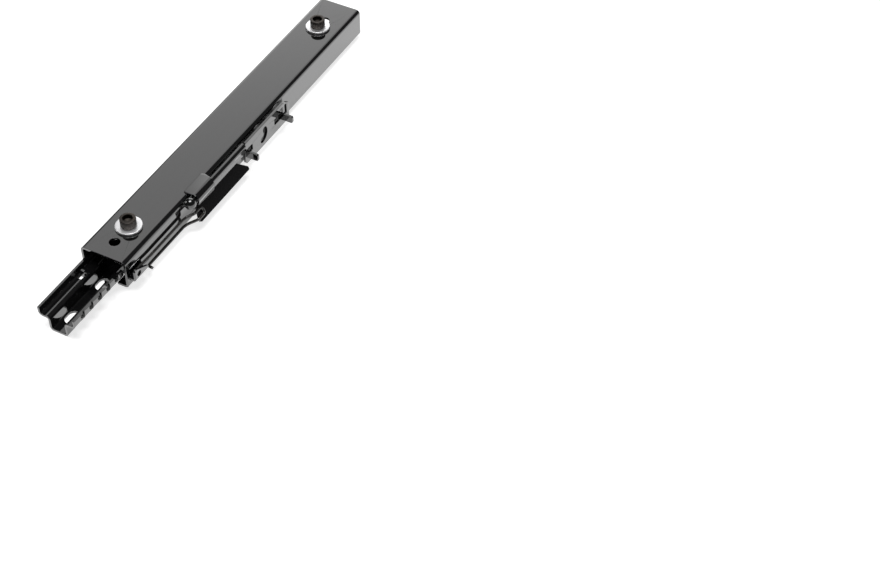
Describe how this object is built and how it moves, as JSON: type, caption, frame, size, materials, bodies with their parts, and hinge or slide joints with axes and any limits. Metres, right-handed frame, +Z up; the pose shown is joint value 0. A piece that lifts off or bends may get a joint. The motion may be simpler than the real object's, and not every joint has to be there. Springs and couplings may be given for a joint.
{
  "type": "seat slide rail",
  "caption": "Manual seat slide rail: a black upper channel that rolls on a notched lower rail, with a sprung side latch, handle pegs, seat bolts and washers.",
  "frame": {"origin": "middle of the lower rail's floor-bolt slots, on the rail's underside", "axes": "+X forward along the rails, +Y towards the latch side, +Z up from the floor"},
  "size_m": [0.411, 0.0568, 0.0375],
  "materials": {
    "black_paint": "gloss",
    "black_oxide": "satin",
    "zinc": "satin",
    "steel": "satin",
    "spring_steel": "satin",
    "nylon": "matte"
  },
  "bodies": {
    "lower": {"lower_rail": "black_paint"},
    "upper": {"upper_rail": "black_paint", "front_weld_nut": "steel", "rear_weld_nut": "steel", "front_bolt": "black_oxide", "rear_bolt": "black_oxide", "front_washer": "zinc", "rear_washer": "zinc", "pivot_hood": "black_paint", "return_spring": "spring_steel"},
    "latch": {"pivot_rod": "black_paint", "latch_lever": "black_paint", "lock_comb": "steel"},
    "cage": {"roller_cage": "nylon"},
    "front_roll": {"front_roller": "steel"},
    "rear_roll": {"rear_roller": "steel"},
    "left_race": {"left_ball_retainer": "nylon", "left_balls": "steel"},
    "right_race": {"right_ball_retainer": "nylon", "right_balls": "steel"}
  },
  "joints": [
    {"name": "rail_slide", "type": "slide", "parent": "lower", "child": "upper", "axis": [1, 0, 0], "range_m": [-0.052, 0.1352]},
    {"name": "latch_hinge", "type": "hinge", "parent": "upper", "child": "latch", "pos_m": [-0.009, 0.0242, 0.0252], "axis": [1, 0, 0], "range_deg": [-8, 17], "stiffness_Nm_per_rad": 0.5, "springref_deg": -20.05, "deforming": ["return_spring"]},
    {"name": "cage_slide", "type": "slide", "parent": "lower", "child": "cage", "axis": [1, 0, 0], "range_m": [-0.027, 0.0685]},
    {"name": "front_roller_turn", "type": "hinge", "parent": "cage", "child": "front_roll", "pos_m": [0.034, 0, 0.02015], "axis": [0, 1, 0], "continuous": true},
    {"name": "rear_roller_turn", "type": "hinge", "parent": "cage", "child": "rear_roll", "pos_m": [-0.09, 0, 0.02015], "axis": [0, 1, 0], "continuous": true},
    {"name": "left_race_slide", "type": "slide", "parent": "lower", "child": "left_race", "axis": [1, 0, 0], "range_m": [-0.027, 0.0685]},
    {"name": "right_race_slide", "type": "slide", "parent": "lower", "child": "right_race", "axis": [1, 0, 0], "range_m": [-0.027, 0.0685]}
  ],
  "couplings": [
    {"joint": "cage_slide", "follows": "rail_slide", "ratio": 0.5},
    {"joint": "left_race_slide", "follows": "rail_slide", "ratio": 0.5},
    {"joint": "right_race_slide", "follows": "rail_slide", "ratio": 0.5},
    {"joint": "front_roller_turn", "follows": "rail_slide", "rad_per_m": 82.645},
    {"joint": "rear_roller_turn", "follows": "rail_slide", "rad_per_m": 82.645}
  ]
}
